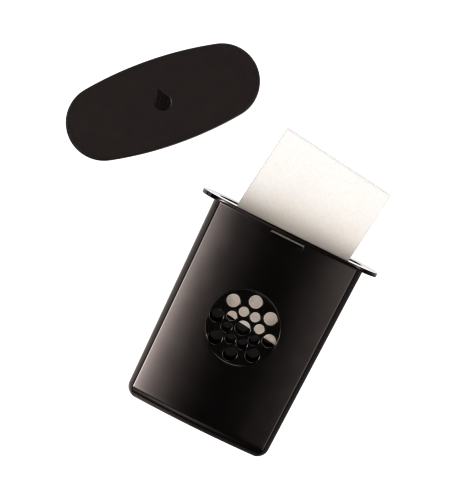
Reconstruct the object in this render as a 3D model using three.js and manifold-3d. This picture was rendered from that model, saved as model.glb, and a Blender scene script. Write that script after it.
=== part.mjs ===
// Soundhole humidifier for an acoustic guitar, taken apart on a table.
// Three pieces: a tapered pocket case with an oval flange round its mouth, a flat
// absorbent pad drawn half way out of it, and the press-on lid lying beside it.
// Units are millimetres, +Z is up and the table is z = 0.

import * as THREE from 'three';
import { mergeVertices } from 'three/addons/utils/BufferGeometryUtils.js';
import Module from 'manifold-3d';

const wasm = await Module();
wasm.setup();

// ---- Driving dimensions ------------------------------------------------------

// Case body. Its own frame: x across, y from the closed bottom to the mouth, z out
// of the front face.
const CASE_LENGTH = 78; // closed bottom to the flange's top
const MOUTH_WIDTH = 58.4; // outside sizes at the flange's top
const MOUTH_THICKNESS = 16.4;
const BOTTOM_WIDTH = 55; // outside sizes at the bottom, without its rounding
const BOTTOM_THICKNESS = 14.8;
const WALL = 1.1;
const FACE_RADIUS = 110; // bow of the front and rear faces
const MOUTH_BULGE = 2.4; // how far the narrow sides bulge out
const BOTTOM_BULGE = 1.7;
const CREASE_RADIUS = 1.5; // between a face and a narrow side
const BOTTOM_ROUNDING = 4.1;
const BOTTOM_BOW = 0.7; // the bottom's middle reaches this far past its ends
const BOW_FADE = 14; // height over which the bottom's bow dies out

// Flange round the mouth: an oval of four arcs that stands out all round.
const FLANGE_END_OVERHANG = 5;
const FLANGE_SIDE_OVERHANG = 5.7;
const END_RADIUS = 11.8; // of the oval's two ends
const FLANGE_THICKNESS = 1.5;
const FLANGE_EDGE = 0.3;

// Snap windows through both faces, close under the flange.
const WINDOW_WIDTH = 12.6;
const WINDOW_HEIGHT = 1.9;
const WINDOW_DROP = 0.8; // flange's underside to the window's upper edge

// Vent in both faces: holes through a flat disc sunk into the bowed face.
const VENT_HEIGHT = 40; // bottom to the vent's centre
const VENT_RADIUS = 13.3;
const VENT_SINK = 1.0; // depth of the disc on the face's middle line
const VENT_DRAFT = 0.35; // the disc's wall opens outwards by this much
const OUTER_RING = { count: 8, radius: 10.3, hole: 4.8, turn: Math.PI / 2 };
const INNER_RING = { count: 8, radius: 5.8, hole: 3.6, turn: Math.PI * 0.625 };
const CENTRE_HOLE = 5.3;

// Absorbent pad, sized by the pocket that it slides into.
const PAD_SIDE_CLEARANCE = 4.5; // each side, at the pocket's bottom
const PAD_END_CLEARANCE = 10.9; // pocket's depth less the pad's length
const PAD_FACE_CLEARANCE = 3.4; // both faces together, at the pad's long edges
const PAD_EDGE = 0.5;
const PAD_LIFT = 0.37; // gap between the pad and the rear wall it lies on
const PAD_DRAWN = 29.5; // how far the middle of the pad's end stands out of the mouth
const PAD_SHIFT = 0.65; // pad's centre from the case's middle line
const PAD_SKEW = THREE.MathUtils.degToRad(6.8); // the pad lies askew in the mouth

// Lid: a plate with a lip round the flange, and a skirt that plugs the mouth.
const LID_PLATE = 1.6;
const LID_LIP = 1.5; // wall of the lip outside the flange
const LID_EDGE = 0.5;
const LID_FIT = 0.3; // clearance to the flange and to the mouth
const SKIRT_DEPTH = 5.0; // below the plate
const SKIRT_WALL = 1.4;
const BEAD_HEIGHT = 1.2;
const BEAD_REACH = 0.7; // how far the snap bead stands out of the skirt
const EMBLEM_LENGTH = 9.5; // water drop sunk into the plate's middle
const EMBLEM_SINK = 0.35;

// Where the lid lies: its centre from the flange's centre, and its turn.
const LID_OFFSET_X = -61.2;
const LID_OFFSET_Y = 21.8;
const LID_TURN = THREE.MathUtils.degToRad(45.6);

const FLANGE_LENGTH = MOUTH_WIDTH + 2 * FLANGE_END_OVERHANG;
const FLANGE_WIDTH = MOUTH_THICKNESS + 2 * FLANGE_SIDE_OVERHANG;
const FLANGE_END_RADIUS = Math.min(END_RADIUS, FLANGE_WIDTH / 2 - 0.5);

// ---- Solids ------------------------------------------------------------------

function solid(geometry) {
  const bare = geometry.clone();
  bare.deleteAttribute('normal');
  bare.deleteAttribute('uv');
  const merged = mergeVertices(bare, 1e-4);
  return new wasm.Manifold(new wasm.Mesh({
    numProp: 3,
    vertProperties: new Float32Array(merged.attributes.position.array),
    triVerts: new Uint32Array(merged.index.array),
  }));
}

function geometryOf(body) {
  const mesh = body.getMesh();
  const geometry = new THREE.BufferGeometry();
  const positions = new Float32Array(mesh.vertProperties);
  geometry.setAttribute('position', new THREE.BufferAttribute(positions, 3));
  geometry.setIndex(new THREE.BufferAttribute(new Uint32Array(mesh.triVerts), 1));
  geometry.computeVertexNormals();
  return geometry;
}

// A plate of the given outline between two heights, with a bevel inside them.
function plate(shape, low, high, bevel, curveSegments) {
  const geometry = new THREE.ExtrudeGeometry(shape, {
    depth: high - low - 2 * bevel,
    bevelEnabled: bevel > 0,
    bevelThickness: bevel,
    bevelSize: bevel,
    bevelOffset: -bevel,
    bevelSegments: 1,
    curveSegments,
  });
  return geometry.translate(0, 0, low + bevel);
}

// A round bar along z at (x, y), from low to high.
function bar(x, y, low, high, radiusLow, radiusHigh, segments) {
  const geometry = new THREE.CylinderGeometry(radiusHigh, radiusLow, high - low, segments);
  geometry.rotateX(Math.PI / 2);
  return geometry.translate(x, y, (low + high) / 2);
}

// A closed skin through rings of points that all have the same count.
function loft(rings) {
  const count = rings[0].length;
  const points = rings.flat();
  const index = [];
  for (let r = 0; r + 1 < rings.length; r += 1) {
    for (let i = 0; i < count; i += 1) {
      const j = (i + 1) % count;
      const [a, b, c, d] = [r * count + i, r * count + j, (r + 1) * count + i, (r + 1) * count + j];
      index.push(a, c, b, c, d, b);
    }
  }
  const low = points.length;
  const high = low + 1;
  const last = (rings.length - 1) * count;
  points.push(middle(rings[0]), middle(rings[rings.length - 1]));
  for (let i = 0; i < count; i += 1) {
    const j = (i + 1) % count;
    index.push(low, i, j, high, last + j, last + i);
  }
  const geometry = new THREE.BufferGeometry().setFromPoints(points);
  return geometry.setIndex(index);
}

function middle(ring) {
  const sum = ring.reduce((total, p) => total.add(p), new THREE.Vector3());
  return sum.divideScalar(ring.length);
}

// An oval of four arcs that run into each other smoothly.
function ovalShape(halfLength, halfWidth, endRadius) {
  const reach = halfLength - endRadius;
  const sideRadius = (reach ** 2 / (halfWidth - endRadius) + endRadius + halfWidth) / 2;
  const drop = sideRadius - halfWidth;
  const lean = Math.atan2(reach, drop);
  const shape = new THREE.Shape();
  shape.absarc(reach, 0, endRadius, lean - Math.PI / 2, Math.PI / 2 - lean, false);
  shape.absarc(0, -drop, sideRadius, Math.PI / 2 - lean, Math.PI / 2 + lean, false);
  shape.absarc(-reach, 0, endRadius, Math.PI / 2 + lean, 1.5 * Math.PI - lean, false);
  shape.absarc(0, drop, sideRadius, 1.5 * Math.PI - lean, 1.5 * Math.PI + lean, false);
  return shape;
}

// ---- Case section ------------------------------------------------------------

// Arcs of the case's outside at height y: a bowed face and a bulging side.
function arcsAt(y) {
  const k = y / CASE_LENGTH;
  const halfWidth = THREE.MathUtils.lerp(BOTTOM_WIDTH, MOUTH_WIDTH, k) / 2;
  const halfThickness = THREE.MathUtils.lerp(BOTTOM_THICKNESS, MOUTH_THICKNESS, k) / 2;
  const bulge = THREE.MathUtils.lerp(BOTTOM_BULGE, MOUTH_BULGE, k);
  const faceCentre = halfThickness - FACE_RADIUS;
  const cornerX = halfWidth - bulge;
  const cornerZ = faceCentre + Math.sqrt(FACE_RADIUS ** 2 - cornerX ** 2);
  const sideRadius = (cornerZ ** 2 + bulge ** 2) / (2 * bulge);
  return { halfWidth, halfThickness, faceCentre, cornerZ, sideRadius };
}

// Right-hand meeting point of a circle round (0, za) with one round (xb, 0).
function meet(za, ra, xb, rb) {
  const span = Math.hypot(xb, za);
  const along = (ra ** 2 - rb ** 2 + span ** 2) / (2 * span);
  const off = Math.sqrt(ra ** 2 - along ** 2);
  const dx = xb / span;
  const dz = -za / span;
  return { x: along * dx + off * dz, z: za + along * dz - off * dx };
}

const steps = (n) => Array.from({ length: n + 1 }, (_, i) => i / n);

// A quarter of the section moved inwards by inset, from the side to the face.
function quarterRing(y, inset) {
  const { halfWidth, faceCentre, sideRadius } = arcsAt(y);
  const sideCentre = halfWidth - sideRadius;
  const crease = Math.max(CREASE_RADIUS - inset, 0.05);
  const faceR = FACE_RADIUS - inset;
  const sideR = sideRadius - inset;
  const c = meet(faceCentre, faceR - crease, sideCentre, sideR - crease);
  const sideEnd = Math.atan2(c.z, c.x - sideCentre);
  const faceStart = Math.atan2(c.z - faceCentre, c.x);
  const arc = (x, z, r, from, to, n) => steps(n).map((k) => {
    const turn = THREE.MathUtils.lerp(from, to, k);
    return [x + r * Math.cos(turn), z + r * Math.sin(turn)];
  });
  return [
    ...arc(sideCentre, 0, sideR, 0, sideEnd, 4),
    ...arc(c.x, c.z, crease, sideEnd, faceStart, 2).slice(1, -1),
    ...arc(0, faceCentre, faceR, faceStart, Math.PI / 2, 6),
  ];
}

// The whole section, anticlockwise in x and z.
function sectionPoints(y, inset) {
  const quarter = quarterRing(y, inset);
  const head = quarter.slice(0, -1);
  const tail = quarter.slice(1).reverse();
  return [
    ...head,
    ...tail.map(([x, z]) => [-x, z]),
    ...head.map(([x, z]) => [-x, -z]),
    ...tail.map(([x, z]) => [x, -z]),
  ];
}

// The section as a ring of points, bowed along y near the bottom.
function sectionRing(y, inset) {
  const fade = Math.max(0, 1 - y / BOW_FADE);
  const { halfWidth } = arcsAt(y);
  return sectionPoints(y, inset).map(([x, z]) => {
    const rise = BOTTOM_BOW * fade * (x / halfWidth) ** 2;
    return new THREE.Vector3(x, y + rise, z);
  });
}

// The body's outline moved inwards by inset, with a rounded bottom.
function pocketSolid(inset, top) {
  const rounding = Math.min(BOTTOM_ROUNDING, 0.95 * arcsAt(0).cornerZ);
  const round = rounding - inset;
  const rings = steps(6).map((k) => {
    const turn = k * Math.PI / 2;
    return sectionRing(rounding - round * Math.cos(turn), rounding - round * Math.sin(turn));
  });
  const above = [BOW_FADE * 0.6, BOW_FADE, top].map((y) => sectionRing(y, inset));
  return solid(loft([...rings, ...above]));
}

// Half the pocket's inside height at x across and y up.
function pocketHalfHeight(x, y) {
  const { halfWidth, faceCentre, sideRadius } = arcsAt(y);
  const face = faceCentre + Math.sqrt((FACE_RADIUS - WALL) ** 2 - x ** 2);
  const outside = Math.max(0, Math.abs(x) - (halfWidth - sideRadius));
  const side = Math.sqrt(Math.max(0, (sideRadius - WALL) ** 2 - outside ** 2));
  return Math.min(face, side);
}

// ---- Case --------------------------------------------------------------------

function flangeSolid() {
  const shape = ovalShape(FLANGE_LENGTH / 2, FLANGE_WIDTH / 2, FLANGE_END_RADIUS);
  const flange = plate(shape, 0, FLANGE_THICKNESS, FLANGE_EDGE, 7);
  return solid(flange.rotateX(Math.PI / 2).translate(0, CASE_LENGTH, 0));
}

// Height of the sunk disc above the case's middle plane.
const ventFloor = () => arcsAt(VENT_HEIGHT).halfThickness - VENT_SINK;

// Backs the sunk disc inside the pocket, so that the wall keeps its thickness.
function ventBacking(side) {
  const inner = ventFloor() - WALL;
  const radius = VENT_RADIUS + WALL;
  return solid(turned(bar(0, VENT_HEIGHT, inner, MOUTH_THICKNESS, radius, radius, 40), side));
}

function ventRecess(side) {
  const high = MOUTH_THICKNESS;
  const slope = VENT_DRAFT / VENT_SINK;
  const radiusHigh = VENT_RADIUS + slope * (high - ventFloor());
  return solid(turned(bar(0, VENT_HEIGHT, ventFloor(), high, VENT_RADIUS, radiusHigh, 48), side));
}

// Side 1 is the front; side -1 turns a front feature round to the rear.
function turned(geometry, side) {
  return side > 0 ? geometry : geometry.rotateY(Math.PI);
}

function ringHoles({ count, radius, hole, turn }, segments) {
  return Array.from({ length: count }, (_, i) => {
    const angle = turn + i * 2 * Math.PI / count;
    const x = radius * Math.cos(angle);
    const y = VENT_HEIGHT + radius * Math.sin(angle);
    return solid(bar(x, y, -MOUTH_THICKNESS, MOUTH_THICKNESS, hole / 2, hole / 2, segments));
  });
}

function ventHoles() {
  const reach = MOUTH_THICKNESS;
  const centre = solid(bar(0, VENT_HEIGHT, -reach, reach, CENTRE_HOLE / 2, CENTRE_HOLE / 2, 20));
  return [centre, ...ringHoles(OUTER_RING, 20), ...ringHoles(INNER_RING, 16)];
}

// One slot across the case that opens a window in both faces.
function windowSlot() {
  const high = CASE_LENGTH - FLANGE_THICKNESS - WINDOW_DROP;
  const slot = new THREE.BoxGeometry(WINDOW_WIDTH, WINDOW_HEIGHT, 2 * MOUTH_THICKNESS);
  return solid(slot.translate(0, high - WINDOW_HEIGHT / 2, 0));
}

function caseGeometry() {
  let cavity = pocketSolid(WALL, CASE_LENGTH + 5);
  let body = pocketSolid(0, CASE_LENGTH - FLANGE_THICKNESS / 2).add(flangeSolid());
  for (const side of [1, -1]) {
    cavity = cavity.subtract(ventBacking(side));
    body = body.subtract(ventRecess(side));
  }
  body = body.subtract(cavity).subtract(windowSlot());
  for (const hole of ventHoles()) {
    body = body.subtract(hole);
  }
  return geometryOf(body);
}

// ---- Pad ---------------------------------------------------------------------

const PAD_WIDTH = BOTTOM_WIDTH - 2 * WALL - 2 * PAD_SIDE_CLEARANCE;
const PAD_LENGTH = CASE_LENGTH - WALL - PAD_END_CLEARANCE;
const PAD_THICKNESS = 2 * pocketHalfHeight(PAD_WIDTH / 2, BOTTOM_ROUNDING) - PAD_FACE_CLEARANCE;

// Slope of the pocket's rear wall against the case's middle plane.
const wallSlope = () => Math.atan2((MOUTH_THICKNESS - BOTTOM_THICKNESS) / 2, CASE_LENGTH);

// Height of the pad's centre along the case.
const padCentreY = () => CASE_LENGTH + PAD_DRAWN - (PAD_LENGTH / 2) * Math.cos(PAD_SKEW);

// Corners and long edges of the pad in the case's frame, seen from the front.
function padOutline() {
  return steps(12).flatMap((k) => [-1, 1].map((side) => {
    const across = side * PAD_WIDTH / 2;
    const along = (k - 0.5) * PAD_LENGTH;
    const x = PAD_SHIFT + across * Math.cos(PAD_SKEW) + along * Math.sin(PAD_SKEW);
    const y = padCentreY() - across * Math.sin(PAD_SKEW) + along * Math.cos(PAD_SKEW);
    return [x, y];
  }));
}

// Height of the pad's underside at its centre, lying along the rear wall.
function padRest() {
  const slope = Math.tan(wallSlope());
  const inside = padOutline().filter(([, y]) => y < CASE_LENGTH);
  const heights = inside.map(([x, y]) => slope * (y - padCentreY()) - pocketHalfHeight(x, y));
  return Math.max(...heights) + PAD_LIFT;
}

function padGeometry() {
  const shape = new THREE.Shape();
  const [w, l] = [PAD_WIDTH / 2, PAD_LENGTH / 2];
  shape.moveTo(-w, -l);
  shape.lineTo(w, -l);
  shape.lineTo(w, l);
  shape.lineTo(-w, l);
  shape.closePath();
  return geometryOf(solid(plate(shape, 0, PAD_THICKNESS, PAD_EDGE, 1)));
}

// ---- Lid ---------------------------------------------------------------------

function lidOval(grow) {
  return ovalShape(FLANGE_LENGTH / 2 + grow, FLANGE_WIDTH / 2 + grow, FLANGE_END_RADIUS + grow);
}

// A plug in the pocket's mouth, in the lid's frame, moved inwards by inset. It
// follows the pocket's taper between two heights of the lid.
function plugSolid(inset, low, high) {
  const seatY = CASE_LENGTH + LID_FIT - SKIRT_DEPTH;
  const rings = [low, high].map((z) => sectionRing(seatY + z, WALL + LID_FIT + inset));
  return solid(loft(rings).rotateX(Math.PI / 2).translate(0, 0, -seatY));
}

// Water drop with its tip towards +y.
function dropShape() {
  const r = EMBLEM_LENGTH * 0.34;
  const tip = EMBLEM_LENGTH - r;
  const shape = new THREE.Shape();
  const touch = Math.acos(r / tip);
  shape.absarc(0, 0, r, Math.PI / 2 + touch, 2.5 * Math.PI - touch, false);
  shape.quadraticCurveTo(r * 0.35, tip * 0.62, 0, tip);
  shape.quadraticCurveTo(-r * 0.35, tip * 0.62, -r * Math.sin(touch), r * Math.cos(touch));
  return shape;
}

// Snap bead on one face of the skirt, at the window's height when the lid is on.
function beadSolid(side) {
  const root = 0.6;
  const down = FLANGE_THICKNESS + WINDOW_DROP + WINDOW_HEIGHT / 2;
  const face = arcsAt(CASE_LENGTH - down).halfThickness - WALL - LID_FIT;
  const bead = new THREE.BoxGeometry(WINDOW_WIDTH - 2 * LID_FIT, BEAD_REACH + root, BEAD_HEIGHT);
  const y = face + (BEAD_REACH - root) / 2;
  return solid(bead.translate(0, side * y, SKIRT_DEPTH - LID_FIT - down));
}

function lidGeometry() {
  const top = SKIRT_DEPTH + LID_PLATE;
  const lip = FLANGE_THICKNESS + LID_FIT;
  const outer = solid(plate(lidOval(LID_FIT + LID_LIP), SKIRT_DEPTH - lip, top, LID_EDGE, 9));
  const seat = solid(plate(lidOval(LID_FIT), -1, SKIRT_DEPTH, 0, 9));
  const skirt = plugSolid(0, 0, SKIRT_DEPTH + 0.5);
  const hollow = plugSolid(SKIRT_WALL, -1, SKIRT_DEPTH);
  const emblem = solid(plate(dropShape(), top - EMBLEM_SINK, top + 1, 0, 8));
  let body = outer.subtract(seat).add(skirt);
  body = body.add(beadSolid(1)).add(beadSolid(-1));
  return geometryOf(body.subtract(hollow).subtract(emblem));
}

// ---- Assembly ----------------------------------------------------------------

function piece(name, geometry, color, roughness) {
  const material = new THREE.MeshStandardMaterial({ color, roughness, metalness: 0 });
  const mesh = new THREE.Mesh(geometry, material);
  mesh.name = name;
  return mesh;
}

// Tilt of the case on its back, resting on its flange and its bottom's rounding.
function lieAngle(geometry) {
  const p = geometry.attributes.position;
  const footY = CASE_LENGTH - FLANGE_THICKNESS + FLANGE_EDGE;
  let slope = Infinity;
  for (let i = 0; i < p.count; i += 1) {
    const back = footY - p.getY(i);
    if (back > CASE_LENGTH / 2) {
      slope = Math.min(slope, (p.getZ(i) + FLANGE_WIDTH / 2) / back);
    }
  }
  return Math.atan(slope);
}

function lyingCase() {
  const shell = piece('case', caseGeometry(), 0x0b0a0b, 0.22);
  const pad = piece('absorbent_pad', padGeometry(), 0xf6f4f0, 0.95);
  pad.rotation.set(-wallSlope(), 0, -PAD_SKEW, 'XYZ');
  pad.position.set(PAD_SHIFT, padCentreY(), padRest());
  const group = new THREE.Group();
  group.add(shell, pad);
  group.rotation.x = lieAngle(shell.geometry);
  group.updateMatrixWorld(true);
  const box = new THREE.Box3().setFromObject(shell, true);
  group.position.z = -box.min.z;
  return group;
}

function lyingLid(flangeY) {
  const lid = piece('lid', lidGeometry(), 0x231d1d, 0.7);
  lid.position.set(LID_OFFSET_X, flangeY + LID_OFFSET_Y, 0);
  lid.rotation.z = LID_TURN;
  return lid;
}

function humidifier() {
  const group = new THREE.Group();
  const lying = lyingCase();
  const flangeY = (CASE_LENGTH - FLANGE_THICKNESS / 2) * Math.cos(lying.rotation.x);
  group.add(lying, lyingLid(flangeY));
  group.updateMatrixWorld(true);
  const box = new THREE.Box3().setFromObject(group, true);
  const centre = box.getCenter(new THREE.Vector3());
  group.position.set(-centre.x, -centre.y, -box.min.z);
  return group;
}

export default humidifier();
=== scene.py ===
"""Soundhole humidifier for a guitar, laid out on a white table: the looks.

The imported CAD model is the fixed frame. Each of its three nodes is replaced by a
finer mesh of the same size, built here from the same dimensions with its edges
rounded as in the photo. Shapes are drawn in millimetres in each piece's own
frame, then placed in metres.
"""

import math

import bmesh
import bpy
from mathutils import Matrix, Vector, noise
from mathutils.geometry import delaunay_2d_cdt


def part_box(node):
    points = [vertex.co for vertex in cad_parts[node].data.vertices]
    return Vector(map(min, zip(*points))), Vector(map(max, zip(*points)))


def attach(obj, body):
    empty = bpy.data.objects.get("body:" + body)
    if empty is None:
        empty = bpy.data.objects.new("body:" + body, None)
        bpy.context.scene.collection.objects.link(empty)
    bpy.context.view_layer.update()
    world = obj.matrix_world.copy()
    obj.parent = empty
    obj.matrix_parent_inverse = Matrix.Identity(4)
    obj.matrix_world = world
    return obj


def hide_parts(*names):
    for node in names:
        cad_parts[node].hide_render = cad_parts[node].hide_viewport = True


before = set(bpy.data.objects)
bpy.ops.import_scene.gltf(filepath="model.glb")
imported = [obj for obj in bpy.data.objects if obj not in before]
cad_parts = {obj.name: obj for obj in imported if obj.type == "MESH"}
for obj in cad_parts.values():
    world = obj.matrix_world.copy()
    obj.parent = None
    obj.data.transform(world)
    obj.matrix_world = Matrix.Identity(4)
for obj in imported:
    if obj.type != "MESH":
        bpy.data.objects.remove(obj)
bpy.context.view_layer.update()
MM = 0.001

# ---- Dimensions, millimetres -----------------------------------------------------

LIE = math.radians(5.0763)  # the case's tilt on its back

CASE_LENGTH = 78
MOUTH = (58.4, 16.4, 2.4)  # width, thickness and side bulge at the mouth
BOTTOM = (55, 14.8, 1.7)
WALL = 1.1
FACE_RADIUS = 110
CREASE_RADIUS = 1.5
CREASE_LEAST = 0.25  # its radius on the inside is no less than this
BOTTOM_ROUNDING = 4.1

FLANGE_LENGTH = 68.4
FLANGE_WIDTH = 27.8
FLANGE_END_RADIUS = 11.8
FLANGE_THICKNESS = 1.5
FLANGE_EDGE = (0.9, 0.12)  # its rounding towards the bottom and towards the mouth
FLANGE_TIP = (25, 31, 0.2)  # between these x the first one tightens to this
FLANGE_FLAT = 2.5  # how far in from the rim its flat ring starts
FLANGE_POLISH = 0.1  # how far below it its polish starts
FLANGE_ROOT = 0.3
MOUTH_EDGE = 0.25
NARROW = 4  # a section's points nearer than this to its middle are on a narrow side

COLUMN = 1.05  # spacing of the face's columns of points
COLUMN_STEPS = 18  # columns each side of the middle, before the crease takes over
SIDE_STEPS, CREASE_STEPS, OUTER_STEPS = 10, 5, 6
LOW_STEPS, HIGH_STEPS = 16, 14  # rows of points below and above the vent's patch

WINDOW = (6.3, 73.8, 75.7)  # half width, lower and upper edge
WINDOW_STEPS = 3
WINDOW_LIP = 1.3  # how far up the lower edge's rounding reaches
WINDOW_BEVEL = 0.3

VENT_HEIGHT = 40
VENT_RADIUS = 13.3
VENT_SINK = 1.0
VENT_CENTRE = (0, VENT_HEIGHT)
VENT_BLOCK = (16.8, 23.2, 56.8)  # half width, low and high edge of its patch
VENT_CLEAR = 0.55  # how far the patch's inner points keep from the rim
VENT_STEPS = 32
VENT_SEGMENTS = 120
VENT_CHORD = 0.007  # how far the chords of its circle lie inside the circle, at most
# The sunk disc's rim, the foot of its wall, and the wall's rows between them. A row
# is how far it stands outside the foot, how much of the depth at the rim is added to
# that, and how deep it lies as a share of that depth.
VENT_RIM, VENT_FOOT = VENT_RADIUS + 1.25, VENT_RADIUS - 0.18
VENT_WALL = [
    (0.06, 1.0, 0.0),
    (0.06, 0.62, 0.06),
    (0.06, 0.34, 0.2),
    (0.06, 0.14, 0.42),
    (0.06, 0.03, 0.7),
    (0.05, 0, 0.92),
    (0, 0, 1),
]
# The same for its back, on the inside.
BACK_RIM, BACK_FOOT = VENT_RADIUS + WALL + 0.4, VENT_RADIUS + WALL - 0.1
BACK_WALL = [(0.15, 0, 0.3), (0, 0, 1)]
HOLE_EDGE = (0.32, 0.12)  # a hole's rounding outside, and its chamfer inside
HOLE_SEGMENTS = 40
HOLE_RINGS = [(0, 1, 2.65, 0), (10.3, 8, 2.4, 0.5), (5.8, 8, 1.8, 0.625)]
VENT_HOLES = [
    (ring * math.cos(a), ring * math.sin(a), radius)
    for ring, count, radius, start in HOLE_RINGS
    for a in (math.pi * (start + 2 * i / count) for i in range(count))
]

PAD = (43.8, 66.0, 4.96)
PAD_EDGE = 0.8
PAD_STEPS = (64, 96, 8)
PAD_SPARE = 1.2  # how much further in the soft pad reaches than its stand-in
PAD_SUNK = 0.05  # how far its fabric lies below the slab on average
PAD_WAVES = (0.05, 0.11)  # height of its slow waves, and how many to a millimetre
PAD_TUFTS = (0.035, 1.3)
PAD_SKEW = math.radians(6.8)
PAD_SLOPE = math.radians(0.5876)

LID_PLATE = 1.6
LID_LIP = 1.5
LID_FIT = 0.3
SKIRT_DEPTH = 5.0
SKIRT_WALL = 1.4
SKIRT_EDGE = (0.2, 0.06, 0.15)  # its lower edge: round outside, halfway round, inside
SKIRT_ROW = 3.2  # height of the row of points above the beads
LID_TURN = math.radians(45.6)
LID_EDGE = (0.7, 0.25)  # its plate's rounding at the top and at the lip's lower edge
LID_QUARTER = 40
EMBLEM_LENGTH = 9.5
EMBLEM_SINK = 0.35
EMBLEM_RIDGE = 0.08  # how far below the lid's top the ridges in the drop reach
EMBLEM_SCALES = (0.80, 0.60, 0.40, 0.22)  # of the ridges, against the drop
# The drop's edge: how far outside its outline, and how deep. A ridge: how far in
# from its own outline, as a share of the drop, and how deep.
EMBLEM_WALL = [(0.14, 0), (0, 0.1), (-0.06, EMBLEM_SINK - 0.05), (-0.14, EMBLEM_SINK)]
EMBLEM_FOLD = [(0, EMBLEM_SINK), (0.03, EMBLEM_RIDGE), (0.08, EMBLEM_RIDGE), (0.11, EMBLEM_SINK)]
EMBLEM_SMOOTH = (0.02, EMBLEM_SINK + 0.01)  # its faces between these depths are smooth
DROP_ROUND = 0.34  # radius of the drop's round end, against its length
DROP_WAIST = 0.12  # how far its round end is cut back, in radians, to draw it in
DROP_BEND = (0.3, 0.62)  # its flank's bend, against the round end and the tip
BEAD = (6.0, 1.45, 0.6, 0.7)  # half width, height above the table, half height, reach
BEAD_END = 0.5  # over which a bead runs out at its ends


# ---- Camera: straight above the layout, turned so that the case lies askew ------

CAMERA_TURN = math.radians(26.31)  # the case's axis against the picture's upright
CAMERA_HEIGHT = 0.75
PICTURE_HEIGHT = 0.1802  # what the picture's height spans on the table
CAMERA_FROM_CASE = (-0.01702, -0.01540)  # from the flange's centre


def make_camera(case_box):
    """A long lens over the table, placed by the middle of the flange."""
    low, high = (Vector(c) for c in case_box)
    half_flange = (FLANGE_THICKNESS + math.sin(LIE) * FLANGE_WIDTH) / 2 * MM
    data = bpy.data.cameras.new("camera")
    data.sensor_fit = "VERTICAL"
    data.angle = 2 * math.atan(PICTURE_HEIGHT / 2 / CAMERA_HEIGHT)
    data.clip_start = 0.01
    data.clip_end = 20
    camera = bpy.data.objects.new("camera", data)
    bpy.context.collection.objects.link(camera)
    camera.location = (
        (low.x + high.x) / 2 + CAMERA_FROM_CASE[0],
        high.y - half_flange + CAMERA_FROM_CASE[1],
        CAMERA_HEIGHT,
    )
    camera.rotation_euler = (0, 0, CAMERA_TURN)
    bpy.context.scene.camera = camera


# ---- Mesh helpers ----------------------------------------------------------------


def lerp(a, b, k):
    return a + (b - a) * k


def steps(n):
    return [i / n for i in range(n + 1)]


def arc(n):
    """Cosine and sine of angles from nought to a quarter turn."""
    return [(math.cos(k * math.pi / 2), math.sin(k * math.pi / 2)) for k in steps(n)]


def span_steps(low, high, n):
    return [lerp(low, high, k) for k in steps(n)]


def block_loop(block, n):
    """Outline of a patch of the face, from its lower left, and its two spacings."""
    half, low, high = block
    count = round(half / COLUMN)
    xs = [i * COLUMN for i in range(-count, count + 1)]
    ys = span_steps(low, high, n)
    loop = [(x, low) for x in xs[:-1]] + [(half, y) for y in ys[:-1]]
    loop += [(x, high) for x in xs[:0:-1]] + [(-half, y) for y in ys[:0:-1]]
    return loop, xs, ys


MERGE = 0.002  # points nearer than this are one
SHARP = math.radians(38)  # an edge sharper than this isn't shaded smooth
NORMAL_WEIGHT = 60


class Skin:
    """Collects faces, and merges the points that they share at the end."""

    def __init__(self):
        self.bm = bmesh.new()

    def points(self, coords):
        return [self.bm.verts.new(c) for c in coords]

    def face(self, *verts):
        self.bm.faces.new(verts)

    def bridge(self, a, b, skip=None):
        """Quads between two closed rings of points with equal counts."""
        n = len(a)
        for i in range(n):
            j = (i + 1) % n
            if not (skip and skip(i)):
                self.face(a[i], a[j], b[j], b[i])

    def rings(self, coord_rings):
        rows = [self.points(r) for r in coord_rings]
        for a, b in zip(rows, rows[1:]):
            self.bridge(a, b)
        return rows

    def patch(self, loops, extra, keep, lift):
        """Triangles over a flat region; lift gives each point its height."""
        coords, edges = [], []
        for loop in loops:
            start = len(coords)
            n = len(loop)
            coords += [Vector(p) for p in loop]
            edges += [(start + i, start + (i + 1) % n) for i in range(n)]
        coords += [Vector(p) for p in extra]
        out = delaunay_2d_cdt(coords, edges, [], 0, 1e-5)
        verts = self.points([lift(p.x, p.y) for p in out[0]])
        for tri in out[2]:
            x = sum(out[0][i].x for i in tri) / 3
            y = sum(out[0][i].y for i in tri) / 3
            if keep(x, y):
                self.face(*[verts[i] for i in tri])

    def finish(self, name, matrix, bevel=None):
        """Makes the object, and rounds the edges that bevel picks by its offset."""
        bm = self.bm
        bmesh.ops.remove_doubles(bm, verts=bm.verts, dist=MERGE)
        loose = [v for v in bm.verts if not v.link_faces]
        bmesh.ops.delete(bm, geom=loose, context="VERTS")
        bmesh.ops.dissolve_degenerate(bm, edges=bm.edges, dist=MERGE / 4)
        bmesh.ops.recalc_face_normals(bm, faces=bm.faces)
        if bevel:
            pick, offset = bevel
            edges = [e for e in bm.edges if pick(e)]
            bmesh.ops.bevel(
                bm, geom=edges, offset=offset, segments=3, profile=0.5, affect="EDGES"
            )
        for f in bm.faces:
            f.smooth = True
        open_edges = sum(1 for e in bm.edges if len(e.link_faces) != 2)
        print(f"{name}: {len(bm.faces)} faces, {open_edges} open edges")
        bmesh.ops.transform(bm, matrix=matrix, verts=bm.verts)
        mesh = bpy.data.meshes.new(name)
        bm.to_mesh(mesh)
        bm.free()
        mesh.set_sharp_from_angle(angle=SHARP)
        piece = bpy.data.objects.new(name, mesh)
        bpy.context.collection.objects.link(piece)
        return piece


def seat(piece, node):
    """Moves the mesh to the middle of the node's box, and down onto its floor."""
    low, high = (Vector(c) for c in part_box(node))
    own = [v.co for v in piece.data.vertices]
    own_low = Vector([min(c[i] for c in own) for i in range(3)])
    own_high = Vector([max(c[i] for c in own) for i in range(3)])
    shift = (low + high - own_low - own_high) / 2
    shift.z = low.z - own_low.z
    piece.data.transform(Matrix.Translation(shift))


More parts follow.
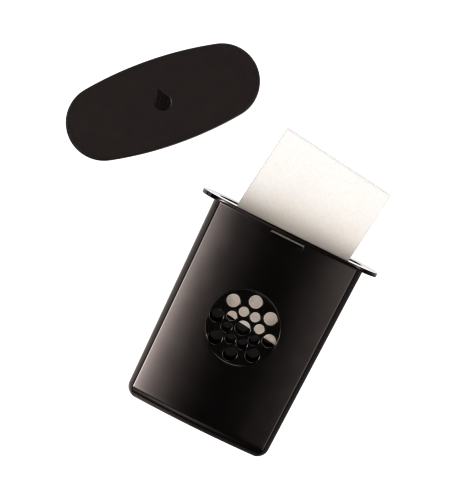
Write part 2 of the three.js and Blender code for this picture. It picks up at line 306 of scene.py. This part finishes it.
def weigh_normals(piece):
    """Lets large faces set the shading, so that flats beside roundings stay flat."""
    bpy.context.view_layer.objects.active = piece
    piece.select_set(True)
    mod = piece.modifiers.new("weigh", "WEIGHTED_NORMAL")
    mod.mode = "FACE_AREA_WITH_ANGLE"
    mod.keep_sharp = True
    mod.weight = NORMAL_WEIGHT
    bpy.ops.object.modifier_apply(modifier=mod.name)
    piece.select_set(False)


# ---- Case ------------------------------------------------------------------------


def arcs_at(y):
    """The outside's arcs at height y: a bowed face and a bulging narrow side."""
    k = y / CASE_LENGTH
    half_w = lerp(BOTTOM[0], MOUTH[0], k) / 2
    half_t = lerp(BOTTOM[1], MOUTH[1], k) / 2
    bulge = lerp(BOTTOM[2], MOUTH[2], k)
    face_c = half_t - FACE_RADIUS
    corner_z = face_c + math.sqrt(FACE_RADIUS**2 - (half_w - bulge) ** 2)
    side_r = (corner_z**2 + bulge**2) / (2 * bulge)
    return half_w, half_t, face_c, side_r


def meet(za, ra, xb, rb):
    """Right-hand meeting point of a circle round (0, za) with one round (xb, 0)."""
    span = math.hypot(xb, za)
    along = (ra**2 - rb**2 + span**2) / (2 * span)
    off = math.sqrt(ra**2 - along**2)
    dx, dz = xb / span, -za / span
    return along * dx + off * dz, za + along * dz - off * dx


def face_height(x, y, inset):
    """How far the face stands from the case's middle plane."""
    face_c = arcs_at(y)[2]
    return face_c + math.sqrt((FACE_RADIUS - inset) ** 2 - x**2)


def quarter(y, inset):
    """A quarter of the section from the narrow side to the face's middle."""
    half_w, _, face_c, side_r = arcs_at(y)
    side_c = half_w - side_r
    crease = max(CREASE_RADIUS - inset, CREASE_LEAST)
    face_r, side_r = FACE_RADIUS - inset, side_r - inset
    cx, cz = meet(face_c, face_r - crease, side_c, side_r - crease)
    side_end = math.atan2(cz, cx - side_c)
    face_start = math.atan2(cz - face_c, cx)
    out = []
    for k in steps(SIDE_STEPS)[:-1]:
        a = side_end * k
        out.append((side_c + side_r * math.cos(a), side_r * math.sin(a)))
    for k in steps(CREASE_STEPS)[:-1]:
        a = lerp(side_end, face_start, k)
        out.append((cx + crease * math.cos(a), cz + crease * math.sin(a)))
    x_start = face_r * math.cos(face_start)
    x_in = COLUMN_STEPS * COLUMN
    xs = [lerp(x_start, x_in, k) for k in steps(OUTER_STEPS)[:-1]]
    xs += [i * COLUMN for i in range(COLUMN_STEPS, -1, -1)]
    out += [(x, face_c + math.sqrt(face_r**2 - x**2)) for x in xs]
    return out


def around(quarter_points):
    """The whole ring from its first quarter, anticlockwise."""
    head, tail = quarter_points[:-1], quarter_points[:0:-1]
    return (
        list(head)
        + [(-x, z) for x, z in tail]
        + [(-x, -z) for x, z in head]
        + [(x, -z) for x, z in tail]
    )


def section(y, inset):
    """The case's section at height y, this far in from its outside."""
    return [(x, y, z) for x, z in around(quarter(y, inset))]


def flange_shares():
    """How far round its quarter each column of the body's ring lies, 0 to 1."""
    pts = quarter(CASE_LENGTH - FLANGE_THICKNESS, 0)
    run = [0.0]
    for a, b in zip(pts, pts[1:]):
        run.append(run[-1] + math.dist(a, b))
    return [r / run[-1] for r in run]


def oval_quarter(shares, grow):
    """Points of the flange's oval of four arcs, at these shares of a quarter."""
    half_length, half_width = FLANGE_LENGTH / 2, FLANGE_WIDTH / 2
    end_radius = FLANGE_END_RADIUS
    reach = half_length - end_radius
    side_r = (reach**2 / (half_width - end_radius) + end_radius + half_width) / 2
    drop = side_r - half_width
    lean = math.atan2(reach, drop)
    end_run = end_radius * (math.pi / 2 - lean)
    total = end_run + side_r * lean
    out = []
    for s in shares:
        run = s * total
        if run < end_run:
            a = run / end_radius
            r = end_radius + grow
            out.append((reach + r * math.cos(a), r * math.sin(a)))
        else:
            a = math.pi / 2 - lean + (run - end_run) / side_r
            r = side_r + grow
            out.append((r * math.cos(a), r * math.sin(a) - drop))
    return out


def flange_ring(shares, y, grow):
    return [(x, y, z) for x, z in around(oval_quarter(shares, grow))]


def flange_edge(shares, under, cos, sin):
    """A ring of the edge towards the case's bottom, tighter at the flange's tips."""
    start, end, tip = FLANGE_TIP
    out = []
    for rim, inward in zip(flange_ring(shares, under, 0), flange_ring(shares, under, -1)):
        k = min(max((abs(rim[0]) - start) / (end - start), 0), 1)
        e = lerp(FLANGE_EDGE[0], tip, k * k * (3 - 2 * k))
        x, y, z = (lerp(p, q, e - e * sin) for p, q in zip(rim, inward))
        out.append((x, y + e - e * cos, z))
    return out


def case_heights():
    """Heights of the wall's rows, from the bottom's rounding to the window's top."""
    lows = span_steps(BOTTOM_ROUNDING, VENT_BLOCK[1], LOW_STEPS)
    beside_vent = span_steps(VENT_BLOCK[1], VENT_BLOCK[2], VENT_STEPS)
    highs = span_steps(VENT_BLOCK[2], WINDOW[1], HIGH_STEPS)
    slot = span_steps(WINDOW[1], WINDOW[2], WINDOW_STEPS)
    return lows + beside_vent[1:] + highs[1:] + slot[1:]


def rounding_rows(inset):
    """Height and inset of each row round the bottom's rounding."""
    full, own = BOTTOM_ROUNDING, BOTTOM_ROUNDING - inset
    return [(full - own * cos, full - own * sin) for cos, sin in arc(12)[:-1]]


def column_spans():
    """How far each column reaches from the middle, and how far it lies from it."""
    ring = around(quarter(VENT_HEIGHT, 0))
    return [(max(abs(a[0]), abs(b[0])), a[1]) for a, b in zip(ring, ring[1:] + ring[:1])]


def wall_rows(skin, inset):
    """Both faces and both narrow sides, with gaps for the vents and windows."""
    spans = column_spans()
    places = rounding_rows(inset) + [(y, inset) for y in case_heights()]
    rows = [skin.points(section(y, i)) for y, i in places]
    for r in range(len(rows) - 1):
        mid = (places[r][0] + places[r + 1][0]) / 2
        openings = [half for half, low, high in (VENT_BLOCK, WINDOW) if low < mid < high]

        def gap(i):
            reach, z = spans[i]
            return abs(z) >= NARROW and any(reach <= half + MERGE for half in openings)

        skin.bridge(rows[r], rows[r + 1], gap)
    return rows


def cap(skin, ring):
    """Closes a ring with faces across it, from one long edge to the other."""
    n = len(ring)
    half = n // 2
    skin.face(ring[0], ring[1], ring[n - 1])
    for i in range(1, half - 1):
        skin.face(ring[i], ring[i + 1], ring[n - i - 1], ring[n - i])
    skin.face(ring[half - 1], ring[half], ring[half + 1])


def circle(centre, radius, n):
    turns = [2 * math.pi * i / n for i in range(n)]
    cx, cy = centre
    return [(cx + radius * math.cos(a), cy + radius * math.sin(a)) for a in turns]


def sunk_disc(skin, side, inset, rim, foot, wall, floor):
    """The face's patch round a sunk disc, and the disc's wall down to its floor."""
    loop, xs, ys = block_loop(VENT_BLOCK, VENT_STEPS)
    ring = circle(VENT_CENTRE, rim, VENT_SEGMENTS)
    clear = rim + VENT_CLEAR
    grid = [(x, y) for x in xs[1:-1] for y in ys[1:-1]]

    def on_face(x, y):
        return x, y, side * face_height(x, y, inset)

    skin.patch(
        [loop, ring],
        [p for p in grid if math.dist(p, VENT_CENTRE) > clear],
        lambda x, y: math.dist((x, y), VENT_CENTRE) > rim - VENT_CHORD,
        on_face,
    )
    depths = [face_height(x, y, inset) - floor for x, y in ring]
    rings = [[on_face(x, y) for x, y in ring]]
    for out, soft, share in wall:
        row = []
        for (x, y), depth in zip(ring, depths):
            k = (foot + out + soft * depth) / rim
            x, y = x * k, VENT_HEIGHT + (y - VENT_HEIGHT) * k
            row.append((x, y, side * lerp(face_height(x, y, inset), floor, share)))
        rings.append(row)
    skin.rings(rings)


def pierced(skin, side, radius, z, rims):
    """A flat disc with holes of the given centres and radii."""
    loops = [circle(VENT_CENTRE, radius, VENT_SEGMENTS)]
    loops += [circle(centre, r, HOLE_SEGMENTS) for centre, r in rims]

    def keep(x, y):
        p = (x, y)
        inside_disc = math.dist(p, VENT_CENTRE) <= radius
        return inside_disc and all(math.dist(p, centre) > r for centre, r in rims)

    skin.patch(loops, [], keep, lambda x, y: (x, y, side * z))


def vent(skin, side):
    """The sunk disc, its back on the inside, and its holes."""
    floor = arcs_at(VENT_HEIGHT)[1] - VENT_SINK
    back = floor - WALL
    sunk_disc(skin, side, 0, VENT_RIM, VENT_FOOT, VENT_WALL, floor)
    sunk_disc(skin, side, WALL, BACK_RIM, BACK_FOOT, BACK_WALL, back)
    edge, heel = HOLE_EDGE
    holes = [((x, VENT_HEIGHT + y), r) for x, y, r in VENT_HOLES]
    pierced(skin, side, VENT_FOOT, floor, [(centre, r + edge) for centre, r in holes])
    pierced(skin, side, BACK_FOOT, back, [(centre, r + heel) for centre, r in holes])
    for centre, r in holes:
        rows = [(r + edge * (1 - sin), floor - edge * (1 - cos)) for cos, sin in arc(5)]
        rows += [(r, back + heel), (r + heel, back)]
        skin.rings([
            [(x, y, side * z) for x, y in circle(centre, radius, HOLE_SEGMENTS)]
            for radius, z in rows
        ])


def window_walls(skin, side):
    """The slot's walls, with the lower one rounded over into a lip."""
    low = WINDOW[1]
    loop = block_loop(WINDOW, WINDOW_STEPS)[0]
    stages = [(WINDOW_LIP * sin, WALL * (1 - cos)) for cos, sin in arc(6)] + [(0, WALL)]
    rings = []
    for lift, inset in stages:
        raised = [(x, max(y, low + lift)) for x, y in loop]
        rings.append([(x, y, side * face_height(x, y, inset)) for x, y in raised])
    skin.rings(rings)


def window_edge(edge):
    """Is this edge on a window's rim, on the outside?"""
    half, low, high = WINDOW
    near = 5 * MERGE
    points = [v.co for v in edge.verts]
    for x, y, z in points:
        if abs(x) > half + near or not low - near < y < high + near:
            return False
        if abs(abs(z) - face_height(x, y, 0)) > near:
            return False
    on_side = all(abs(abs(p.x) - half) < near for p in points)
    return on_side or any(all(abs(p.y - y) < near for p in points) for y in (low, high))


def make_case():
    skin = Skin()
    outer = wall_rows(skin, 0)
    inner = wall_rows(skin, WALL)
    cap(skin, outer[0])
    cap(skin, inner[0])
    shares = flange_shares()
    under = CASE_LENGTH - FLANGE_THICKNESS
    root, mouth, rim = FLANGE_ROOT, MOUTH_EDGE, FLANGE_EDGE[1]
    rings = [section(under - root * (1 - sin), root * (cos - 1)) for cos, sin in arc(4)]
    rings.append(flange_ring(shares, under, -FLANGE_FLAT))
    rings += [flange_edge(shares, under, cos, sin) for cos, sin in arc(6)]
    rings += [
        flange_ring(shares, CASE_LENGTH - rim * (1 - sin), rim * (cos - 1))
        for cos, sin in arc(4)
    ]
    rings.append(flange_ring(shares, CASE_LENGTH, -FLANGE_FLAT))
    rings += [
        section(CASE_LENGTH - mouth * (1 - cos), WALL - mouth * (1 - sin))
        for cos, sin in arc(4)
    ]
    rows = [outer[-1]] + [skin.points(ring) for ring in rings] + [inner[-1]]
    for a, b in zip(rows, rows[1:]):
        skin.bridge(a, b)
    for side in (1, -1):
        vent(skin, side)
        window_walls(skin, side)
    for f in skin.bm.faces:
        middle = f.calc_center_median()
        f.material_index = int(middle.y > under - FLANGE_POLISH)
    turn = Matrix.Rotation(LIE, 4, "X") @ Matrix.Scale(MM, 4)
    piece = skin.finish("case_shell", turn, (window_edge, WINDOW_BEVEL))
    seat(piece, "case")
    weigh_normals(piece)
    return piece


# ---- Lid -------------------------------------------------------------------------


def lid_ring(z, grow):
    return [(x, y, z) for x, y in around(oval_quarter(steps(LID_QUARTER), grow))]


def plug_ring(z, inset):
    """The skirt's section at height z, with its snap beads standing out."""
    y = CASE_LENGTH + LID_FIT - SKIRT_DEPTH + z
    half, mid, tall, reach = BEAD
    out = []
    for x, d in around(quarter(y, WALL + LID_FIT + inset)):
        if inset == 0 and abs(d) > NARROW:
            rise = math.sqrt(max(0.0, 1 - ((z - mid) / tall) ** 2))
            ends = min(1.0, max(0.0, (half - abs(x)) / BEAD_END))
            d += math.copysign(reach * rise * ends, d)
        out.append((x, d, z))
    return out


def drop_outline(grow, scale):
    """Water drop with its tip towards +y, its round end's centre at the origin."""
    r = EMBLEM_LENGTH * DROP_ROUND
    tip = EMBLEM_LENGTH - r
    touch = math.acos(r / tip) + DROP_WAIST
    start, end = math.pi / 2 + touch, math.pi * 5 / 2 - touch
    pts = [(r * math.cos(a), r * math.sin(a)) for a in span_steps(start, end, 36)]
    right, bend = pts[-1], (r * DROP_BEND[0], tip * DROP_BEND[1])
    flank = []
    for k in steps(14)[1:]:
        x = (1 - k) ** 2 * right[0] + 2 * k * (1 - k) * bend[0]
        y = (1 - k) ** 2 * right[1] + 2 * k * (1 - k) * bend[1] + k * k * tip
        flank.append((x, y))
    pts += flank + [(-x, y) for x, y in flank[-2::-1]]
    return [(x * scale, y * scale) for x, y in offset_loop(pts, grow)]


def offset_loop(pts, grow):
    """Moves a closed anticlockwise loop outwards along its own normals."""
    n = len(pts)
    out = []
    for i in range(n):
        a, b = Vector(pts[i - 1]), Vector(pts[(i + 1) % n])
        t = (b - a).normalized()
        out.append((pts[i][0] + t.y * grow, pts[i][1] - t.x * grow))
    return out


def inside(x, y, loop):
    """Does the point lie inside the closed loop?"""
    hit = False
    n = len(loop)
    for i in range(n):
        (x1, y1), (x2, y2) = loop[i], loop[(i + 1) % n]
        if (y1 > y) != (y2 > y) and x < (x2 - x1) * (y - y1) / (y2 - y1) + x1:
            hit = not hit
    return hit


def flat_between(skin, outer, holes, z):
    """Flat region inside one loop and outside others."""
    loops = [[(p[0], p[1]) for p in outer]] + holes
    skin.patch(
        loops,
        [],
        lambda x, y: inside(x, y, loops[0]) and not any(inside(x, y, h) for h in holes),
        lambda x, y: (x, y, z),
    )


def emblem_loops():
    """The sunk drop's outlines from its rim inwards, each with its depth."""
    loops = [(drop_outline(grow, 1), depth) for grow, depth in EMBLEM_WALL]
    for scale in EMBLEM_SCALES:
        loops += [(drop_outline(0, scale - fall), depth) for fall, depth in EMBLEM_FOLD]
    return loops


def skirt_rings():
    """The skirt's rings from the plate down its outside, and up its inside."""
    _, mid, tall, _ = BEAD
    edge, halfway, inner_edge = SKIRT_EDGE
    heights = [edge] + span_steps(mid - tall, mid + tall, 10) + [SKIRT_ROW, SKIRT_DEPTH]
    out = [plug_ring(0, edge), plug_ring(halfway, halfway)]
    out += [plug_ring(z, 0) for z in heights]
    back = [plug_ring(0, SKIRT_WALL - inner_edge), plug_ring(inner_edge, SKIRT_WALL)]
    return out[::-1] + back + [plug_ring(SKIRT_DEPTH, SKIRT_WALL)]


def make_lid():
    skin = Skin()
    top = SKIRT_DEPTH + LID_PLATE
    low = SKIRT_DEPTH - FLANGE_THICKNESS - LID_FIT
    grow = LID_FIT + LID_LIP
    e, f = LID_EDGE
    plate = [lid_ring(top - e * (1 - cos), grow - e * (1 - sin)) for cos, sin in arc(7)]
    plate += [lid_ring(low + f * (1 - sin), grow - f * (1 - cos)) for cos, sin in arc(3)]
    plate += [lid_ring(low, LID_FIT), lid_ring(SKIRT_DEPTH, LID_FIT)]
    skin.rings(plate)
    drops = emblem_loops()
    skin.rings([[(x, y, top - depth) for x, y in loop] for loop, depth in drops])
    flat_between(skin, plate[0], [drops[0][0]], top)
    flat_between(skin, drops[-1][0], [], top - EMBLEM_SINK)
    skirt = skirt_rings()
    skin.rings(skirt)
    flat_between(skin, plate[-1], [[p[:2] for p in skirt[0]]], SKIRT_DEPTH)
    flat_between(skin, skirt[-1], [], SKIRT_DEPTH)
    for face in skin.bm.faces:
        x, y, z = face.calc_center_median()
        near = math.hypot(x, y) < EMBLEM_LENGTH
        face.material_index = int(near and EMBLEM_SMOOTH[0] < top - z < EMBLEM_SMOOTH[1])
    turn = Matrix.Rotation(LID_TURN, 4, "Z") @ Matrix.Scale(MM, 4)
    piece = skin.finish("lid_shell", turn)
    seat(piece, "lid")
    weigh_normals(piece)
    return piece


# ---- Pad -------------------------------------------------------------------------


def pad_point(*shares):
    """A point of the slab from -1..1 across, along and through it, softened."""
    at = [share * size / 2 for share, size in zip(shares, PAD)]
    core = [size / 2 - PAD_EDGE for size in PAD]
    past = [max(0.0, abs(c) - limit) for c, limit in zip(at, core)]
    run = math.hypot(*past)
    if run > PAD_EDGE:
        k = PAD_EDGE / run
        for i in range(3):
            if past[i]:
                at[i] = math.copysign(core[i] + past[i] * k, at[i])
    return Vector(at)


def pad_relief(p):
    """How far the surface sinks at a point: slow waves and fine fibre tufts."""
    wave, per_wave = PAD_WAVES
    tuft, per_tuft = PAD_TUFTS
    slow = noise.noise(p * per_wave + Vector((3.1, 7.7, 1.3)))
    fine = noise.fractal(p * per_tuft, 0.9, 2.1, 3)
    return PAD_SUNK + wave * slow + tuft * abs(fine)


def make_pad():
    skin = Skin()
    made = {}

    def grid(axis, level):
        """One side of the slab, which shares its edges with the others."""
        a_ax, b_ax = [i for i in range(3) if i != axis]
        na, nb = PAD_STEPS[a_ax], PAD_STEPS[b_ax]
        for i in range(na):
            for j in range(nb):
                quad = []
                for di, dj in ((0, 0), (1, 0), (1, 1), (0, 1)):
                    c = [0.0, 0.0, 0.0]
                    c[axis] = level
                    c[a_ax] = 2 * (i + di) / na - 1
                    c[b_ax] = 2 * (j + dj) / nb - 1
                    key = tuple(round(q, 6) for q in c)
                    if key not in made:
                        made[key] = skin.bm.verts.new(pad_point(*c))
                    quad.append(made[key])
                skin.face(*quad)

    for level in (-1.0, 1.0):
        for axis in range(3):
            grid(axis, level)
    bmesh.ops.recalc_face_normals(skin.bm, faces=skin.bm.faces)
    skin.bm.normal_update()
    for v in skin.bm.verts:
        v.co -= v.normal * pad_relief(v.co)
    lie = Matrix.Rotation(LIE - PAD_SLOPE, 4, "X")
    turn = lie @ Matrix.Rotation(-PAD_SKEW, 4, "Z") @ Matrix.Scale(MM, 4)
    piece = skin.finish("sponge", turn)
    seat(piece, "absorbent_pad")
    low, high = (Vector(c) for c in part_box("absorbent_pad"))
    middle = (low + high) / 2
    outwards = (turn.to_3x3() @ Vector((0, 1, 0))).normalized()
    for v in piece.data.vertices:
        along = (v.co - middle).dot(outwards)
        v.co += outwards * min(0.0, along) / (PAD[1] / 2) * PAD_SPARE
    return piece


# ---- Materials -------------------------------------------------------------------


MIX_COLORS = (6, 7)  # which inputs of a Mix node are its two colours
MIX_RESULT = 2  # and which output


class Nodes:
    """A node tree, with short ways to add to it. A value is a number or a socket."""

    def __init__(self, tree):
        self.tree = tree

    def feed(self, socket, value):
        if isinstance(value, bpy.types.NodeSocket):
            self.tree.links.new(value, socket)
        else:
            socket.default_value = value

    def node(self, kind, **inputs):
        made = self.tree.nodes.new(kind)
        for key, value in inputs.items():
            self.feed(made.inputs[key.replace("_", " ")], value)
        return made

    def calc(self, operation, *values):
        made = self.node("ShaderNodeMath")
        made.operation = operation
        for socket, value in zip(made.inputs, values):
            self.feed(socket, value)
        return made.outputs["Value"]

    def remap(self, value, low, high, from_low=0.3, from_high=0.7):
        made = self.node("ShaderNodeMapRange", Value=value, To_Min=low, To_Max=high)
        self.feed(made.inputs["From Min"], from_low)
        self.feed(made.inputs["From Max"], from_high)
        return made.outputs["Result"]

    def mix(self, factor, a, b, blend="MIX"):
        """Mixes two colours, each a socket or three numbers."""
        made = self.node("ShaderNodeMix", Factor=factor)
        made.data_type = "RGBA"
        made.blend_type = blend
        for index, color in zip(MIX_COLORS, (a, b)):
            self.feed(made.inputs[index], (*color, 1) if isinstance(color, tuple) else color)
        return made.outputs[MIX_RESULT]


class Shader(Nodes):
    """A node material on one Principled BSDF, in object coordinates of metres."""

    def __init__(self, name, color, roughness, **inputs):
        self.mat = bpy.data.materials.new(name)
        self.mat.use_nodes = True
        super().__init__(self.mat.node_tree)
        self.bsdf = self.tree.nodes["Principled BSDF"]
        self.coords = self.node("ShaderNodeTexCoord").outputs["Object"]
        self.set("Base Color", (*color, 1))
        self.set("Roughness", roughness)
        for key, value in inputs.items():
            self.set(key.replace("_", " "), value)

    def set(self, key, value):
        self.feed(self.bsdf.inputs[key], value)

    def noise(self, scale, detail=2.0, rough=0.5, stretch=(1, 1, 1)):
        place = self.node("ShaderNodeMapping", Vector=self.coords, Scale=stretch)
        made = self.node("ShaderNodeTexNoise", Vector=place.outputs["Vector"])
        for key, value in (("Scale", scale), ("Detail", detail), ("Roughness", rough)):
            self.feed(made.inputs[key], value)
        return made.outputs["Fac"]

    def ramp(self, value, stops):
        made = self.node("ShaderNodeValToRGB")
        elements = made.color_ramp.elements
        while len(elements) < len(stops):
            elements.new(0.5)
        for element, (at, color) in zip(elements, stops):
            element.position = at
            element.color = (*color, 1)
        self.feed(made.inputs["Fac"], value)
        return made.outputs["Color"]

    def bump(self, height, distance, strength, normal=None):
        made = self.node("ShaderNodeBump", Height=height, Distance=distance, Strength=strength)
        if normal:
            self.feed(made.inputs["Normal"], normal)
        return made.outputs["Normal"]


def moulded_gloss(name, low, high):
    """Black moulded plastic whose roughness wanders between two values."""
    s = Shader(name, (0.0016, 0.0012, 0.0011), (low + high) / 2, IOR=1.5)
    s.set("Roughness", s.remap(s.noise(140, 3), low, high))
    flow = s.bump(s.noise(55, 2, 0.4), distance=0.00004, strength=0.6)
    grain = s.bump(s.noise(2600, 2), distance=0.000003, strength=0.5, normal=flow)
    s.set("Normal", grain)
    return s.mat


def matte_rubber(name, shade, low, high):
    """Black rubber, mottled as it comes out of its mould."""
    s = Shader(name, (0.008, 0.005, 0.005), 0.6, IOR=1.5, Specular_IOR_Level=0.25)
    dark, pale = (0.0022, 0.0004, 0.0004), (0.0066, 0.0028, 0.0027)
    stops = [(0.32, [c * shade for c in dark]), (0.68, [c * shade for c in pale])]
    s.set("Base Color", s.ramp(s.noise(230, 4, 0.6), stops))
    s.set("Roughness", s.remap(s.noise(500, 3), low, high))
    s.set("Normal", s.bump(s.noise(4200, 3), distance=0.00002, strength=0.5))
    return s.mat


PAD_SHADE_FADE = (-0.012, 0.048)  # between which Y the painted shade fades out, from the end inside the case to the outer end
PAD_SHADE_WANDER = 0.06  # how much that place wanders
# Painted shade: the fibre's colour darkens and warms towards the end inside the case.
PAD_SHADE_TINTS = [
    (0.0, (0.86, 0.735, 0.625)),
    (0.38, (0.915, 0.81, 0.71)),
    (0.66, (0.96, 0.92, 0.88)),
    (1.0, (0.98, 0.965, 0.945)),
]
PAD_SPECKS = [(0.3, (0.95, 0.945, 0.94)), (0.55, (1.0, 1.0, 1.0))]


def sponge_fibre():
    """White fibre, with painted shade: a little warmer and darker towards the end inside the
    case.
    """
    s = Shader(
        "sponge_fibre",
        (0.9, 0.88, 0.86),
        0.95,
        Subsurface_Weight=0.08,
        Subsurface_Scale=0.001,
    )
    y = s.node("ShaderNodeSeparateXYZ", Vector=s.coords).outputs["Y"]
    along = s.remap(y, 0.0, 1.0, *PAD_SHADE_FADE)
    shade_wander = s.remap(s.noise(60, 3, 0.6), -PAD_SHADE_WANDER, PAD_SHADE_WANDER)
    # The ramp paints shade onto the fibre, darker and warmer towards the end inside the case.
    shaded_tint = s.ramp(s.calc("ADD", along, shade_wander), PAD_SHADE_TINTS)
    speck = s.ramp(s.noise(1100, 4, 0.6), PAD_SPECKS)
    s.set("Base Color", s.mix(1.0, shaded_tint, speck, "MULTIPLY"))
    fibre = s.noise(1500, 4, 0.6, stretch=(1, 0.35, 1))
    s.set("Normal", s.bump(fibre, distance=0.00018, strength=0.55))
    return s.mat


SHADE_INSET = (0.013, 0.008)  # from the case's box, across and along
SHADE_FADE = 0.006
SHADE_DEPTH = 0.004
GLOW = (0.75, 0.1, 2.3)  # the table's light at the left, the right and the top
GLOW_START = (-0.004, 0.006)  # where the last one starts and is full, from the mouth
GLOW_TINT = (1.0, 0.84, 0.78)  # what shiny surfaces see of it, but not of the last one


def white_table(case_box):
    """A backlit white table, dark only in the middle of the case's own shadow."""
    s = Shader("white_table", (0.03, 0.03, 0.03), 0.9, Emission_Color=(1, 1, 1, 1))
    place = s.node("ShaderNodeSeparateXYZ", Vector=s.coords).outputs
    path = s.node("ShaderNodeLightPath").outputs
    low, high = case_box
    shades = []
    for axis, name in enumerate("XY"):
        centre, half = (low[axis] + high[axis]) / 2, (high[axis] - low[axis]) / 2
        off = s.calc("ABSOLUTE", s.calc("SUBTRACT", place[name], centre))
        inset = half - SHADE_INSET[axis]
        shades.append(s.remap(off, SHADE_DEPTH, 1.0, inset - SHADE_FADE, inset))
    # Only the camera sees it evenly white: it is dimmer at the right, where the case
    # keeps the lamps off it, and brighter beyond the mouth.
    left, right, top = GLOW
    beside = s.remap(place["X"], left, right, low[0], (low[0] + high[0]) / 2)
    beyond = s.remap(place["Y"], 0.0, top, *(high[1] + start for start in GLOW_START))
    glow = s.calc("MAXIMUM", beside, beyond)
    seen = s.node("ShaderNodeMix", Factor=path["Is Camera Ray"], A=glow, B=1.0)
    lit = s.calc("MULTIPLY", seen.outputs["Result"], s.calc("MAXIMUM", *shades))
    s.set("Emission Strength", lit)
    near = s.calc("SUBTRACT", path["Is Glossy Ray"], beyond)
    s.set("Emission Color", s.mix(near, (1, 1, 1), GLOW_TINT))
    return s.mat


# ---- Light -----------------------------------------------------------------------


ZENITH = 0.015  # the radiance straight above, for shiny surfaces
# Each light's direction (its x and y), its spread in x and y, and its radiance.
LOBES = [
    (-0.61, -0.29, 0.095, 0.075, 34.0),
    (-0.42, -0.34, 0.13, 0.06, 3.0),
    (-0.40, -0.22, 0.14, 0.08, 0.3),
    (0.56, 0.05, 0.15, 0.11, 7.0),
    (0.70, -0.20, 0.07, 0.10, 3.0),
    (-0.20, -0.72, 0.20, 0.09, 1.6),
    (-0.1, 0.92, 0.45, 0.06, 5.0),
]
SHINY_TINT = (1.08, 0.89, 0.83)
FILL = 3.85  # what matte surfaces get from above, on the side of the case's bottom
FILL_FADE = (-0.45, 0.4)  # over which it fades towards the mouth's side
FILL_REST = 0.12
FILL_TINT = (1.0, 0.995, 0.985)


def make_world():
    """A light tent: dark straight above, with soft lobes of light to the sides."""
    world = bpy.data.worlds.new("tent")
    bpy.context.scene.world = world
    world.use_nodes = True
    world.cycles.sampling_method = "NONE"  # so that each ray type keeps its own light
    w = Nodes(world.node_tree)
    coords = w.node("ShaderNodeTexCoord").outputs["Generated"]
    towards = w.node("ShaderNodeSeparateXYZ", Vector=coords).outputs
    path = w.node("ShaderNodeLightPath").outputs
    lobes = ZENITH
    for x, y, wide, tall, power in LOBES:
        a = w.calc("DIVIDE", w.calc("SUBTRACT", towards["X"], x), wide)
        b = w.calc("DIVIDE", w.calc("SUBTRACT", towards["Y"], y), tall)
        square = w.calc("ADD", w.calc("MULTIPLY", a, a), w.calc("MULTIPLY", b, b))
        lobe = w.calc("POWER", math.e, w.calc("MULTIPLY", square, -0.5))
        lobes = w.calc("ADD", w.calc("MULTIPLY", lobe, power), lobes)
    up = w.calc("MAXIMUM", towards["Z"], 0.0)
    side = w.remap(towards["Y"], FILL, FILL * FILL_REST, *FILL_FADE)
    fill = w.calc("MULTIPLY", w.calc("MULTIPLY", up, up), side)
    matte = path["Is Diffuse Ray"]
    for_shiny = w.calc("MULTIPLY", lobes, w.calc("SUBTRACT", 1.0, matte))
    for_matte = w.calc("MULTIPLY", fill, matte)
    background = w.tree.nodes["Background"]
    w.feed(background.inputs["Strength"], w.calc("ADD", for_shiny, for_matte))
    w.feed(background.inputs["Color"], w.mix(matte, SHINY_TINT, FILL_TINT))
    plain = w.node("ShaderNodeBackground", Color=(1, 1, 1, 1))
    mix = w.node("ShaderNodeMixShader", Fac=path["Is Camera Ray"])
    w.feed(mix.inputs[1], background.outputs[0])
    w.feed(mix.inputs[2], plain.outputs[0])
    w.feed(w.tree.nodes["World Output"].inputs["Surface"], mix.outputs[0])


TABLE_HALF = 1.5  # half its side, in metres
TABLE_DROP = 0.00002  # how far its top lies below the pieces


def make_table():
    mesh = bpy.data.meshes.new("table")
    turns = ((-1, -1), (1, -1), (1, 1), (-1, 1))
    corners = [(x * TABLE_HALF, y * TABLE_HALF, -TABLE_DROP) for x, y in turns]
    mesh.from_pydata(corners, [], [(0, 1, 2, 3)])
    table = bpy.data.objects.new("table", mesh)
    bpy.context.collection.objects.link(table)
    table.data.materials.append(white_table(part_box("case")))


# ---- Scene -----------------------------------------------------------------------


def dress(piece, material, body, node):
    piece.data.materials.append(material)
    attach(piece, body)
    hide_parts(node)


make_camera(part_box("case"))
bpy.context.scene.view_settings.view_transform = "Standard"
bpy.context.scene.cycles.filter_width = 1.0
make_world()
make_table()
shell = make_case()
dress(shell, moulded_gloss("moulded_gloss", 0.12, 0.17), "case", "case")
shell.data.materials.append(moulded_gloss("polished_rim", 0.03, 0.06))
cover = make_lid()
dress(cover, matte_rubber("matte_rubber", 0.5, 0.5, 0.64), "lid", "lid")
cover.data.materials.append(matte_rubber("smooth_rubber", 0.3, 0.3, 0.4))
sponge = make_pad()
dress(sponge, sponge_fibre(), "pad", "absorbent_pad")
